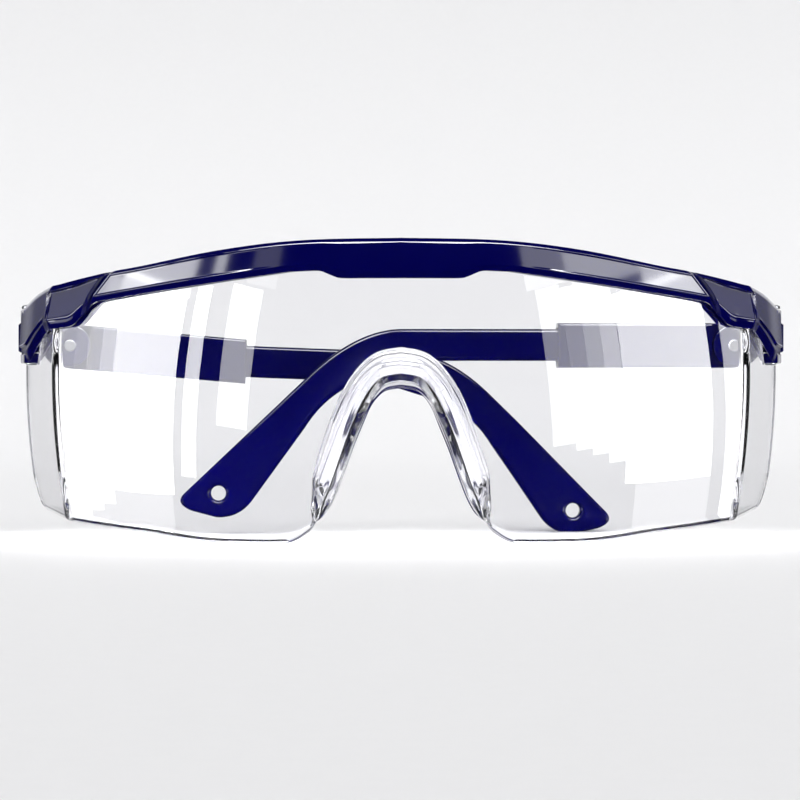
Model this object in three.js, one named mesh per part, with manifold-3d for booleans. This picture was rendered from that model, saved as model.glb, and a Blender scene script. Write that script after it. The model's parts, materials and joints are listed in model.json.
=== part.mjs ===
// Wrap-around safety glasses with telescoping temples, standing folded on a table.
// Units are millimetres. +X is the wearer's left, the front faces -Y, +Z is up.
// The origin is the middle of the bounding box's underside, set at the end of the file.

import * as THREE from 'three';
import { mergeVertices } from 'three/addons/utils/BufferGeometryUtils.js';
import Module from 'manifold-3d';

const wasm = await Module();
wasm.setup();

// ---- Driving dimensions -------------------------------------------------------------

// Wrap surface, the outer face of the lens in plan: a front arc, a tight corner, a side.
const FRONT_RADIUS = 115;
const FRONT_TURN = THREE.MathUtils.degToRad(35.5);
const CORNER_RADIUS = 8;
const SIDE_TURN = THREE.MathUtils.degToRad(68.4);
const SIDE_LENGTH = 20.5;

// The wrap surface is also barrel-shaped from top to bottom.
const BARREL_RADIUS = 150;
const BARREL_HEIGHT = 33;

const LENS_WALL = 2.2;
const FRAME_PROUD = 1.8;
const FRAME_DEPTH = 5.8;
const GROOVE_GAP = 0.3;
const GAP = 0.3;

// Front-view outlines run past the side's rear edge to here, and through this much depth.
const OUTLINE_SIDE = 81;
const OUTLINE_DEPTH = 120;
const OUTLINE_BACK = 90;

// The moulded nose bridge: its wall, and how far it reaches behind the lens face.
const BRIDGE_WALL = 1.9;
const BRIDGE_REACH = 8.5;

// Fold hinge: a vertical pin behind each end of the frame.
const PIN_X = 76.5;
const PIN_Y = 47.5;
const PIN_RADIUS = 1.2;
const PIN_BORE = 1.5;
const LUG_RADIUS = 3.4;
const LOWER_LUG = [34.9, 36.9];
const UPPER_LUG = [43.5, 45.9];
const LUG_TANG_START = 41.5;
const LUG_TANG = [-2.8, 1.6];
const KNUCKLE_RADIUS = 3.1;
const PIN_FOOT = 34.6;
const PIN_HEAD_RADIUS = 2;
const PIN_HEAD = [46.2, 46.8, 47.1];
const NECK_ROOM = { inboard: 9, front: 3.1, back: 3 };

// Temple, measured along its length from the fold pin.
const TILT_ALONG = 8.5;
const TILT_HEIGHT = 38.55;
const TILT_DISC = 4.3;
const TILT_JOIN = 0.15;
const BLOCK_THICK = 2.4;
const NECK_TOP = 42;
const SCREW_HEAD_RADIUS = 2.2;
const SCREW = { foot: -2.6, head: 2.9, rim: 3.3, top: 3.7 };
const SLEEVE_HEIGHT = 9.1;
const SLEEVE_THICK = 5.2;
const SLEEVE_END = 44.6;
const CAVITY_START = 14.2;
const BAR_LOW = 35.4;
const BAR_HIGH = 41.9;
const BAR_THICK = 3.2;
const TONGUE_START = 28.6;
const DETENT_PITCH = 7;
const DETENT_FIRST = 17;
const DETENT_COUNT = 4;
const DETENT_AT_REST = 31;
const DETENT_HALF = [0.8, 0.6];
const DETENT_RISE = 0.5;
const WINDOW_HALF = [1.3, 1];
const DETENT_RUN_DEEP = 0.95;
const SLEEVE_EASE = 0.5;
const BAR_EASE = 0.45;

// Further than any part of a temple reaches, for cuts that go right through.
const THROUGH_SIDE = 4;
const THROUGH_LOW = 30;
const THROUGH_HIGH = 50;
const LANYARD_HOLE = { along: 113.8, height: 8.5, radius: 1.5 };

// How each temple lies folded: how far its line turns away from the frame's width, and
// how far its tilt ratchet lets it droop. The left one lies in front of the right one.
const LEFT_FOLD = THREE.MathUtils.degToRad(-3);
const RIGHT_FOLD = THREE.MathUtils.degToRad(4.3);
const LEFT_DROOP = 0;
const RIGHT_DROOP = THREE.MathUtils.degToRad(2);

// ---- Materials ------------------------------------------------------------------------

const navyNylon = new THREE.MeshStandardMaterial({ color: 0x05054f, roughness: 0.25, metalness: 0 });
const navyTemple = new THREE.MeshStandardMaterial({ color: 0x04044c, roughness: 0.3, metalness: 0 });
const clearPolycarbonate = new THREE.MeshStandardMaterial({
  color: 0xeef0f4,
  roughness: 0.05,
  metalness: 0,
  transparent: true,
  opacity: 0.3,
});
const plainSteel = new THREE.MeshStandardMaterial({ color: 0xb8bac0, roughness: 0.3, metalness: 1 });

// ---- Solids: joining and cutting ------------------------------------------------------

function toSolid(geometry) {
  const bare = geometry.clone();
  bare.deleteAttribute('normal');
  bare.deleteAttribute('uv');
  const merged = mergeVertices(bare, 1e-4);
  const vertProperties = new Float32Array(merged.attributes.position.array);
  const triVerts = new Uint32Array(merged.index.array);
  return new wasm.Manifold(new wasm.Mesh({ numProp: 3, vertProperties, triVerts }));
}

function toGeometry(solid) {
  const mesh = solid.getMesh();
  const geometry = new THREE.BufferGeometry();
  geometry.setAttribute('position', new THREE.BufferAttribute(mesh.vertProperties, 3));
  geometry.setIndex(new THREE.BufferAttribute(mesh.triVerts, 1));
  geometry.computeVertexNormals();
  return geometry;
}

// A block from its low corner to its high corner.
function block(low, high) {
  const size = high.map((value, i) => value - low[i]);
  const geometry = new THREE.BoxGeometry(...size);
  geometry.translate(...low.map((value, i) => value + size[i] / 2));
  return toSolid(geometry);
}

// A round bar along `axis` ('y' or 'z') between two places on that axis.
function roundBar(axis, radius, centre, from, to, sides = 24) {
  const geometry = new THREE.CylinderGeometry(radius, radius, Math.abs(to - from), sides);
  const middle = (from + to) / 2;
  if (axis === 'z') {
    geometry.rotateX(Math.PI / 2);
    geometry.translate(centre[0], centre[1], middle);
  } else {
    geometry.translate(centre[0], middle, centre[1]);
  }
  return toSolid(geometry);
}

// A front-view outline in X and Z, carried through the whole depth of the glasses.
function frontPrism(shape) {
  const geometry = new THREE.ExtrudeGeometry(shape, {
    depth: OUTLINE_DEPTH,
    bevelEnabled: false,
    curveSegments: 8,
  });
  geometry.rotateX(Math.PI / 2);
  geometry.translate(0, OUTLINE_BACK, 0);
  return toSolid(geometry);
}

// A side-view outline in X and Z with some thickness either side of Y = 0 and eased edges.
function plate(shape, thickness, ease) {
  const geometry = new THREE.ExtrudeGeometry(shape, {
    depth: thickness - 2 * ease,
    bevelEnabled: true,
    bevelSize: ease,
    bevelOffset: -ease,
    bevelThickness: ease,
    bevelSegments: 1,
    curveSegments: 8,
  });
  geometry.rotateX(Math.PI / 2);
  geometry.translate(0, thickness / 2 - ease, 0);
  return toSolid(geometry);
}

// ---- The wrap surface -----------------------------------------------------------------

const FRONT_ARC = FRONT_RADIUS * FRONT_TURN;
const CORNER_ARC = CORNER_RADIUS * (SIDE_TURN - FRONT_TURN);
const WRAP_END = FRONT_ARC + CORNER_ARC + SIDE_LENGTH;

// Plan place and heading at a length along the wrap from the centre line, for one side.
function wrapPlan(along) {
  const turn = Math.min(along, FRONT_ARC) / FRONT_RADIUS;
  const point = {
    heading: turn,
    x: FRONT_RADIUS * Math.sin(turn),
    y: FRONT_RADIUS * (1 - Math.cos(turn)),
  };
  if (along > FRONT_ARC) {
    const inCorner = Math.min(along - FRONT_ARC, CORNER_ARC);
    point.heading = FRONT_TURN + inCorner / CORNER_RADIUS;
    point.x += CORNER_RADIUS * (Math.sin(point.heading) - Math.sin(FRONT_TURN));
    point.y += CORNER_RADIUS * (Math.cos(FRONT_TURN) - Math.cos(point.heading));
  }
  const onSide = Math.max(0, along - FRONT_ARC - CORNER_ARC);
  point.x += onSide * Math.cos(point.heading);
  point.y += onSide * Math.sin(point.heading);
  return point;
}

function wrapPoint(along, out, height) {
  const plan = wrapPlan(Math.abs(along));
  const rise = height - BARREL_HEIGHT;
  const off = out - (rise * rise) / (2 * BARREL_RADIUS);
  const side = along < 0 ? -1 : 1;
  return new THREE.Vector3(
    side * (plan.x + off * Math.sin(plan.heading)),
    plan.y - off * Math.cos(plan.heading),
    height,
  );
}

// Lengths along the wrap at which a slab bends, from one rear end to the other.
function wrapStations(end) {
  const frontSteps = 22;
  const cornerSteps = 4;
  const half = [];
  for (let i = 1; i <= frontSteps; i += 1) {
    half.push((FRONT_ARC * i) / frontSteps);
  }
  for (let i = 1; i <= cornerSteps; i += 1) {
    half.push(FRONT_ARC + (CORNER_ARC * i) / cornerSteps);
  }
  half.push(end);
  return [...half.map((value) => -value).reverse(), 0, ...half];
}

// A slab that follows the wrap surface between two offsets from it and two heights.
function wrapSlab(outer, inner, end, low, high, rows) {
  const stations = wrapStations(end);
  const geometry = new THREE.BoxGeometry(1, 1, 1, stations.length - 1, rows, 1);
  const position = geometry.attributes.position;
  for (let i = 0; i < position.count; i += 1) {
    const station = Math.round((position.getX(i) + 0.5) * (stations.length - 1));
    const height = low + (high - low) * (position.getY(i) + 0.5);
    const out = position.getZ(i) > 0 ? outer : inner;
    const point = wrapPoint(stations[station], out, height);
    position.setXYZ(i, point.x, point.y, point.z);
  }
  return toSolid(geometry);
}

// ---- Outlines in front view -----------------------------------------------------------

// Joins the points of a half outline, given for +X from the first to the last, to its mirror.
function mirroredShape(half) {
  const shape = new THREE.Shape();
  const other = half.map(([x, z]) => [-x, z]).reverse();
  const all = [...half, ...other].filter(([x, z], i, list) => {
    const next = list[(i + 1) % list.length];
    return Math.hypot(next[0] - x, next[1] - z) > 1e-6;
  });
  all.forEach(([x, z], i) => {
    if (i === 0) {
      shape.moveTo(x, z);
    } else {
      shape.lineTo(x, z);
    }
  });
  return shape;
}

// Points along a smooth curve through the given ones.
function smooth(points, steps) {
  const curve = new THREE.SplineCurve(points.map(([x, z]) => new THREE.Vector2(x, z)));
  return curve.getPoints(steps).map((point) => [point.x, point.y]);
}

const browTop = smooth(
  [[0, 58.3], [19.7, 57.9], [34.8, 56.3], [50.3, 53.5], [58.4, 52.2], [71.2, 49.3]],
  14,
);

function frameOutline() {
  const sideTop = [[OUTLINE_SIDE, 45.6]];
  const sideFoot = [[OUTLINE_SIDE, 34.9], [75.4, 35.1], [70.2, 41.2], [64.5, 42]];
  const browFoot = [[59.8, 46.5], [21.5, 51.8], [15.7, 52], [11.9, 50.6], [0, 50.6]];
  return mirroredShape([...browTop, ...sideTop, ...sideFoot, ...browFoot]);
}

// The upper edge of the lens, inside the frame's groove and then under the side arm.
function lensTop(grow) {
  const inBrow = [[0, 55], [19.7, 54.6], [34.8, 53], [50.3, 50.2], [58.4, 48.9], [66, 47], [71, 45]];
  const underArm = [[72.6, 42], [73, 37.4], [73.6, 34.5], [OUTLINE_SIDE, 34.5]];
  return [...inBrow, ...underArm].map(([x, z]) => [x + (x > 60 ? grow : 0), z + grow]);
}

const noseOpening = [
  [20.8, 0.4], [18, 2.1], [15, 4.7], [12.8, 8], [10.8, 13],
  [9.2, 17.5], [7.2, 22.5], [5.5, 26.5], [3.2, 29.1], [0, 29.8],
];
const noseRearEdge = [
  [17.9, 3], [17.2, 7], [15, 14.1], [12.7, 21.2],
  [10.1, 27.8], [7.3, 32.3], [4.1, 35.1], [0, 36],
];

function lensOutline() {
  const rearCorner = [[OUTLINE_SIDE, 12], [78.4, 11], [76.6, 7.6], [73.9, 5.6], [70.4, 4.2], [66.4, 3.5]];
  const foot = smooth([[66.4, 3.5], [48.4, 1.5], [41.6, 0.5], [35, 0], [24, 0], [20.8, 0.4]], 12);
  const nose = smooth(noseOpening, 18);
  return mirroredShape([...lensTop(0), ...rearCorner, ...foot, ...nose]);
}

// ---- Front: frame and lens ------------------------------------------------------------

function browFrame() {
  const inner = FRAME_PROUD - FRAME_DEPTH;
  let frame = wrapSlab(FRAME_PROUD, inner, WRAP_END, 30, 62, 4).intersect(frontPrism(frameOutline()));
  const grooveShape = mirroredShape([...lensTop(GROOVE_GAP), [OUTLINE_SIDE, 28], [0, 28]]);
  const groove = wrapSlab(GROOVE_GAP, -LENS_WALL - GROOVE_GAP, WRAP_END + 3, 24, 60, 5);
  frame = frame.subtract(groove.intersect(frontPrism(grooveShape)));
  for (const side of [-1, 1]) {
    const centre = [side * PIN_X, PIN_Y];
    const armSide = LUG_TANG.map((offset) => side * (PIN_X + offset)).sort((a, b) => a - b);
    for (const [low, high] of [LOWER_LUG, UPPER_LUG]) {
      const tang = block([armSide[0], LUG_TANG_START, low], [armSide[1], PIN_Y, high]);
      frame = frame.add(roundBar('z', LUG_RADIUS, centre, low, high, 28)).add(tang);
    }
    const knuckleRoom = KNUCKLE_RADIUS + 2 * GAP;
    frame = frame.subtract(roundBar('z', knuckleRoom, centre, LOWER_LUG[1], UPPER_LUG[0], 28));
    frame = frame.subtract(roundBar('z', PIN_BORE, centre, LOWER_LUG[0] - 1, UPPER_LUG[1] + 1));
    const inboard = [side * (PIN_X - NECK_ROOM.inboard), side * PIN_X].sort((a, b) => a - b);
    const neckRoom = block(
      [inboard[0], PIN_Y - NECK_ROOM.front, LOWER_LUG[1]],
      [inboard[1], PIN_Y + NECK_ROOM.back, UPPER_LUG[0]],
    );
    frame = frame.subtract(neckRoom);
  }
  return frame;
}

// The moulded nose bridge: a wall that widens from the edge of the nose opening to the back.
function noseBridge() {
  const mirrorCurve = (points) => {
    const left = points.slice(0, -1).map(([x, z]) => [-x, z]).reverse();
    const all = [...points, ...left].map(([x, z]) => new THREE.Vector2(x, z));
    return new THREE.SplineCurve(all);
  };
  const front = mirrorCurve(noseOpening.slice(1));
  const rear = mirrorCurve(noseRearEdge);
  const geometry = new THREE.BoxGeometry(1, 1, 1, 36, 1, 3);
  const position = geometry.attributes.position;
  for (let i = 0; i < position.count; i += 1) {
    const round = position.getX(i) + 0.5;
    const back = 0.5 - position.getZ(i);
    const frontEdge = front.getPoint(round);
    const edge = frontEdge.clone().lerp(rear.getPoint(round), Math.sqrt(back));
    const tangent = front.getTangent(round);
    const outward = position.getY(i) > 0 ? 0 : BRIDGE_WALL;
    edge.x += tangent.y * outward;
    edge.y -= tangent.x * outward;
    const rise = frontEdge.y - BARREL_HEIGHT;
    const wrapDepth = (frontEdge.x * frontEdge.x) / (2 * FRONT_RADIUS);
    const barrelDepth = (rise * rise) / (2 * BARREL_RADIUS);
    const inLens = 0.5;
    position.setXYZ(i, edge.x, wrapDepth + barrelDepth + inLens + BRIDGE_REACH * back, edge.y);
  }
  return toSolid(geometry);
}

function wrapLens() {
  const slab = wrapSlab(0, -LENS_WALL, WRAP_END, -3, 57, 9);
  return slab.intersect(frontPrism(lensOutline())).add(noseBridge());
}

// A turned shape about Y, from its profile of radii and heights.
function turned(profile) {
  return new THREE.LatheGeometry(profile.map(([r, y]) => new THREE.Vector2(r, y)), 20);
}

function hingePin() {
  const [headFoot, headRim, headTop] = PIN_HEAD;
  const shank = [[0, PIN_FOOT], [PIN_RADIUS, PIN_FOOT], [PIN_RADIUS, headFoot]];
  const head = [[PIN_HEAD_RADIUS, headFoot], [PIN_HEAD_RADIUS, headRim], [1.4, headTop], [0, headTop]];
  const geometry = turned([...shank, ...head]);
  geometry.rotateX(Math.PI / 2);
  return toSolid(geometry);
}

// ---- Temples: X runs from the fold pin to the ear, `inner` is the Y side of the head ---

// Fold knuckle, and the half of the tilt ratchet that turns with it.
function hingeBlock(inner) {
  const plane = [inner * TILT_JOIN, inner * BLOCK_THICK].sort((a, b) => a - b);
  const tilt = [TILT_ALONG, TILT_HEIGHT];
  const foot = LOWER_LUG[1] + GAP;
  let body = roundBar('z', KNUCKLE_RADIUS, [0, 0], foot, UPPER_LUG[0] - GAP, 28);
  body = body.add(block([0, plane[0], foot], [TILT_ALONG, plane[1], NECK_TOP]));
  body = body.add(roundBar('y', TILT_DISC, tilt, plane[0], plane[1], 32));
  body = body.subtract(roundBar('z', PIN_BORE, [0, 0], THROUGH_LOW, THROUGH_HIGH));
  return body.subtract(roundBar('y', PIN_BORE, tilt, -THROUGH_SIDE, THROUGH_SIDE));
}

function tiltScrew(inner) {
  const shank = [[0, SCREW.foot], [PIN_RADIUS, SCREW.foot], [PIN_RADIUS, SCREW.head]];
  const rim = [[SCREW_HEAD_RADIUS, SCREW.head], [SCREW_HEAD_RADIUS, SCREW.rim]];
  const head = [...rim, [1.5, SCREW.top], [0, SCREW.top]];
  const geometry = turned([...shank, ...head]);
  if (inner > 0) {
    geometry.rotateX(Math.PI);
  }
  return toSolid(geometry);
}

// Hollow sleeve, with the other half of the ratchet and the windows its detent clicks into.
function templeSleeve(inner) {
  const half = SLEEVE_HEIGHT / 2;
  const shape = new THREE.Shape();
  shape.moveTo(SLEEVE_END, TILT_HEIGHT - half);
  shape.lineTo(SLEEVE_END, TILT_HEIGHT + half);
  shape.lineTo(TILT_ALONG, TILT_HEIGHT + half);
  shape.absarc(TILT_ALONG, TILT_HEIGHT, half, 0.5 * Math.PI, 1.5 * Math.PI, false);
  let sleeve = plate(shape, SLEEVE_THICK, SLEEVE_EASE);
  const headSide = [inner * -TILT_JOIN, inner * THROUGH_SIDE].sort((a, b) => a - b);
  const discRoomEnd = TILT_ALONG + TILT_DISC + GAP;
  const discRoom = block([0, headSide[0], THROUGH_LOW], [discRoomEnd, headSide[1], THROUGH_HIGH]);
  sleeve = sleeve.subtract(discRoom);
  const bore = roundBar('y', PIN_BORE, [TILT_ALONG, TILT_HEIGHT], -THROUGH_SIDE, THROUGH_SIDE);
  sleeve = sleeve.subtract(bore);
  const cavityY = BAR_THICK / 2 + GAP;
  const mouth = SLEEVE_END + 1;
  const cavity = block([CAVITY_START, -cavityY, BAR_LOW - GAP], [mouth, cavityY, BAR_HIGH + GAP]);
  const [windowLong, windowWide] = WINDOW_HALF;
  const runFoot = BAR_LOW - DETENT_RUN_DEEP;
  const detentRun = block([CAVITY_START, -windowWide, runFoot], [mouth, windowWide, BAR_LOW]);
  sleeve = sleeve.subtract(cavity).subtract(detentRun);
  for (let i = 0; i < DETENT_COUNT; i += 1) {
    const at = DETENT_FIRST + i * DETENT_PITCH;
    const low = [at - windowLong, -windowWide, THROUGH_LOW];
    sleeve = sleeve.subtract(block(low, [at + windowLong, windowWide, BAR_LOW]));
  }
  return sleeve;
}

// Sliding bar with the bent ear hook and the flat end that a lanyard ties to.
function templeTip() {
  const shape = new THREE.Shape();
  shape.moveTo(TONGUE_START, BAR_HIGH);
  shape.lineTo(TONGUE_START, BAR_LOW);
  shape.lineTo(68.8, BAR_LOW);
  shape.lineTo(86.6, 30.8);
  shape.quadraticCurveTo(91.6, 29.2, 96.2, 21.8);
  shape.lineTo(106.4, 7.8);
  shape.quadraticCurveTo(109.3, 3.2, 114.3, 3.6);
  shape.lineTo(119.4, 5);
  shape.quadraticCurveTo(123.3, 6.3, 120.6, 8.6);
  shape.lineTo(96.9, 31);
  shape.quadraticCurveTo(86.5, 41.7, 76.6, BAR_HIGH);
  const hole = new THREE.Path();
  hole.absarc(LANYARD_HOLE.along, LANYARD_HOLE.height, LANYARD_HOLE.radius, 0, 2 * Math.PI, false);
  shape.holes.push(hole);
  const [detentLong, detentWide] = DETENT_HALF;
  const detent = block(
    [DETENT_AT_REST - detentLong, -detentWide, BAR_LOW - DETENT_RISE],
    [DETENT_AT_REST + detentLong, detentWide, BAR_LOW + DETENT_RISE],
  );
  return plate(shape, BAR_THICK, BAR_EASE).add(detent);
}

// ---- Assembly -------------------------------------------------------------------------

function addMesh(parent, name, solid, material) {
  const mesh = new THREE.Mesh(toGeometry(solid), material);
  mesh.name = name;
  parent.add(mesh);
  return mesh;
}

function addTemple(parent, side, fold, droop) {
  const label = side > 0 ? 'left' : 'right';
  const pin = addMesh(parent, `${label}_hinge_pin`, hingePin(), plainSteel);
  pin.position.set(side * PIN_X, PIN_Y, 0);
  const folded = new THREE.Group();
  folded.position.set(side * PIN_X, PIN_Y, 0);
  folded.rotation.z = side > 0 ? Math.PI - fold : fold;
  parent.add(folded);
  addMesh(folded, `${label}_hinge_block`, hingeBlock(side), navyNylon);
  const screw = addMesh(folded, `${label}_tilt_screw`, tiltScrew(side), plainSteel);
  screw.position.set(TILT_ALONG, 0, TILT_HEIGHT);
  const tilted = new THREE.Group();
  tilted.position.set(TILT_ALONG, 0, TILT_HEIGHT);
  tilted.rotation.y = droop;
  folded.add(tilted);
  for (const [name, solid] of [['temple_sleeve', templeSleeve(side)], ['temple_tip', templeTip()]]) {
    const mesh = addMesh(tilted, `${label}_${name}`, solid, navyTemple);
    mesh.position.set(-TILT_ALONG, 0, -TILT_HEIGHT);
  }
}

const glasses = new THREE.Group();
addMesh(glasses, 'brow_frame', browFrame(), navyNylon);
addMesh(glasses, 'lens', wrapLens(), clearPolycarbonate);
addTemple(glasses, 1, LEFT_FOLD, LEFT_DROOP);
addTemple(glasses, -1, RIGHT_FOLD, RIGHT_DROOP);

const bounds = new THREE.Box3().setFromObject(glasses, true);
const middle = bounds.getCenter(new THREE.Vector3());
glasses.position.set(-middle.x, -middle.y, -bounds.min.z);
const model = new THREE.Group();
model.add(glasses);

export default model;
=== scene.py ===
"""Wrap-around safety glasses: the visible pieces, their materials and a plain studio, built
around the CAD frame.

Lengths in the constants and profiles are millimetres and become metres by MM. Places along the
front are given as on the CAD part: X from the middle, Y from the lens face, Z from the table.
"""

import json
import math

import bmesh
import bpy
import numpy as np
from mathutils import Matrix, Vector


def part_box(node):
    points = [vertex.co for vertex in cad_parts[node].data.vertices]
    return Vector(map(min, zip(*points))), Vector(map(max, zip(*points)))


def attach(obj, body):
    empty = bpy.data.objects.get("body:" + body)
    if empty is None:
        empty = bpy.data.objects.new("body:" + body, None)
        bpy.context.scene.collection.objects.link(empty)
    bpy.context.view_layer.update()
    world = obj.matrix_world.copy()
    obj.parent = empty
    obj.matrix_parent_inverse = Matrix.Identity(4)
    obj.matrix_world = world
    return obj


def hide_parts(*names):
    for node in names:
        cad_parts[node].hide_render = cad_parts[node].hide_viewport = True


bl_info = {
    "name": "Safety Glasses",
    "version": (1, 0, 0),
    "blender": (4, 5, 0),
    "location": "3D View > Sidebar > Safety Glasses",
    "description": "Builds folding safety glasses with a clear wrap lens around their packed CAD frame",
    "category": "Object",
}

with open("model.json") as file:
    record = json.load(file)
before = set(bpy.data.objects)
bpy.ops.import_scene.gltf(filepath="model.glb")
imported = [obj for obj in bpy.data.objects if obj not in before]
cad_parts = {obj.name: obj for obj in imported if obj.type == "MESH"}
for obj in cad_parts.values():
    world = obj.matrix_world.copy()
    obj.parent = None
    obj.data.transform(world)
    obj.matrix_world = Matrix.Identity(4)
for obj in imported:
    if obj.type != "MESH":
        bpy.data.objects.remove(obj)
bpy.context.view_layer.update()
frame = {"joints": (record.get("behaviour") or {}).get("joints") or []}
MM = 0.001

# ---- Driving dimensions ---------------------------------------------------------------

# The same as the CAD part's, but for a sharper plan corner on the lens and frame.

FRONT_RADIUS = 115.0
FRONT_TURN = math.radians(35.912)
CORNER_RADIUS = 5.2
SIDE_TURN = math.radians(68.4)
SIDE_LENGTH = 21.327
BARREL_RADIUS = 150.0
BARREL_HEIGHT = 33.0
LENS_WALL = 2.2
FRAME_PROUD = 1.8
FRAME_DEPTH = 5.8
GROOVE_GAP = 0.3
PIN_Y = 47.5
PIN_FOOT = 34.6
LOWER_LUG = (34.9, 36.9)
UPPER_LUG = (43.5, 45.9)
LUG_RADIUS = 2.4
LUG_BORE = 1.3
TILT_ALONG = 8.5
TILT_HEIGHT = 38.55

FRONT_ARC = FRONT_RADIUS * FRONT_TURN
CORNER_ARC = CORNER_RADIUS * (SIDE_TURN - FRONT_TURN)
WRAP_END = FRONT_ARC + CORNER_ARC + SIDE_LENGTH

PIN_LOW, PIN_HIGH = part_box("left_hinge_pin")
PIN_PLACE = (PIN_LOW + PIN_HIGH) / 2
ORIGIN = np.array([0.0, PIN_PLACE.y - PIN_Y * MM, PIN_LOW.z - PIN_FOOT * MM])
JOINTS = {joint["name"]: joint for joint in frame["joints"]}


# ---- Small helpers --------------------------------------------------------------------

def linear(hex_colour):
    """The linear RGBA of an sRGB hex colour such as "01004C"."""
    parts = [int(hex_colour[i:i + 2], 16) / 255 for i in (0, 2, 4)]
    return tuple(c / 12.92 if c <= 0.04045 else ((c + 0.055) / 1.055) ** 2.4 for c in parts) + (1.0,)


def add_node(tree, kind, settings=None, inputs=None):
    """Adds a node, sets its properties, then its inputs: a value, or a socket to link from."""
    made = tree.nodes.new(kind)
    for key, value in (settings or {}).items():
        setattr(made, key, value)
    for key, value in (inputs or {}).items():
        if isinstance(value, bpy.types.NodeSocket):
            tree.links.new(value, made.inputs[key])
        else:
            made.inputs[key].default_value = value
    return made


def new_material(name):
    """A node material with its Principled shader, ready for that shader's own values."""
    material = bpy.data.materials.new(name)
    material.use_nodes = True
    return material, material.node_tree, material.node_tree.nodes["Principled BSDF"]


def mesh_object(name, points, faces, material, smooth_angle=30.0):
    """A mesh object at the origin from points in metres, smooth but for edges over an angle."""
    mesh = bpy.data.meshes.new(name)
    mesh.from_pydata([tuple(p) for p in points], [], [tuple(f) for f in faces])
    return finish_mesh(name, mesh, material, smooth_angle)


def finish_mesh(name, mesh, material, smooth_angle=30.0):
    """Merges doubles, turns faces outwards, shades, and links the mesh as an object."""
    cleaned = bmesh.new()
    cleaned.from_mesh(mesh)
    bmesh.ops.remove_doubles(cleaned, verts=cleaned.verts, dist=2e-6)
    bmesh.ops.dissolve_degenerate(cleaned, edges=cleaned.edges, dist=1e-6)
    bmesh.ops.recalc_face_normals(cleaned, faces=cleaned.faces)
    cleaned.to_mesh(mesh)
    cleaned.free()
    mesh.polygons.foreach_set("use_smooth", [True] * len(mesh.polygons))
    mesh.set_sharp_from_angle(angle=math.radians(smooth_angle))
    mesh.name = name
    mesh.materials.clear()
    mesh.materials.append(material)
    made = bpy.data.objects.new(name, mesh)
    bpy.context.scene.collection.objects.link(made)
    return made


def plain_copy(source):
    """The evaluated mesh of an object, which is then removed."""
    bpy.context.view_layer.update()
    evaluated = source.evaluated_get(bpy.context.evaluated_depsgraph_get())
    mesh = bpy.data.meshes.new_from_object(evaluated)
    mesh.transform(source.matrix_world)
    bpy.data.objects.remove(source)
    return mesh


def cut(target, cutters, operation="DIFFERENCE"):
    """Applies boolean cutters, which are removed, to an object and returns its new mesh."""
    for cutter in cutters:
        modifier = target.modifiers.new("cut", "BOOLEAN")
        modifier.operation = operation
        modifier.solver = "EXACT"
        modifier.object = cutter
    mesh = plain_copy(target)
    for cutter in cutters:
        bpy.data.objects.remove(cutter)
    return mesh


def loop_faces(rows, columns, close_columns=False):
    """Quads over a grid of points stored row by row."""
    faces = []
    for first in range(0, (rows - 1) * columns, columns):
        for j in range(columns if close_columns else columns - 1):
            k = (j + 1) % columns
            faces.append((first + j, first + k, first + columns + k, first + columns + j))
    return faces


def ease(x, low, high):
    """0 below low, 1 above high, and a smooth step between."""
    t = np.clip((np.asarray(x, float) - low) / (high - low), 0, 1)
    return t * t * (3 - 2 * t)


def spline(points, count):
    """Points along a Catmull-Rom curve through the given ones, evenly spaced by length."""
    p = np.array(points, float)
    padded = np.vstack([2 * p[0] - p[1], p, 2 * p[-1] - p[-2]])
    fine = []
    for i in range(1, len(padded) - 2):
        t = np.linspace(0, 1, 40, endpoint=False)[:, None]
        a, b, c, d = padded[i - 1:i + 3]
        fine.append(0.5 * (2 * b + (c - a) * t + (2 * a - 5 * b + 4 * c - d) * t ** 2
                           + (3 * b - a - 3 * c + d) * t ** 3))
    fine = np.vstack(fine + [p[-1:]])
    length = np.concatenate([[0], np.cumsum(np.linalg.norm(np.diff(fine, axis=0), axis=1))])
    even = np.linspace(0, length[-1], count)
    return np.column_stack([np.interp(even, length, fine[:, k]) for k in range(p.shape[1])])


# ---- The wrap surface -----------------------------------------------------------------

def wrap_plan(along):
    """Plan X, Y and heading at lengths along the wrap from the middle, for the +X side."""
    along = np.asarray(along, float)
    turn = np.minimum(along, FRONT_ARC) / FRONT_RADIUS
    in_corner = np.clip(along - FRONT_ARC, 0, CORNER_ARC)
    heading = turn + in_corner / CORNER_RADIUS
    x = FRONT_RADIUS * np.sin(turn)
    y = FRONT_RADIUS * (1 - np.cos(turn))
    x = x + np.where(along > FRONT_ARC, CORNER_RADIUS * (np.sin(heading) - math.sin(FRONT_TURN)), 0)
    y = y + np.where(along > FRONT_ARC, CORNER_RADIUS * (math.cos(FRONT_TURN) - np.cos(heading)), 0)
    side = np.maximum(0, along - FRONT_ARC - CORNER_ARC)
    return x + side * np.cos(heading), y + side * np.sin(heading), heading


def wrap_point(along, out, height):
    """Points out mm outside the wrap surface, in CAD millimetres."""
    along, out, height = np.broadcast_arrays(along, out, height)
    x, y, heading = wrap_plan(np.abs(along))
    off = out - (height - BARREL_HEIGHT) ** 2 / (2 * BARREL_RADIUS)
    side = np.where(along < 0, -1.0, 1.0)
    return np.stack([side * (x + off * np.sin(heading)), y - off * np.cos(heading), height + 0.0], axis=-1)


ALONG_TABLE = np.linspace(0, WRAP_END + 8, 900)


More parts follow.
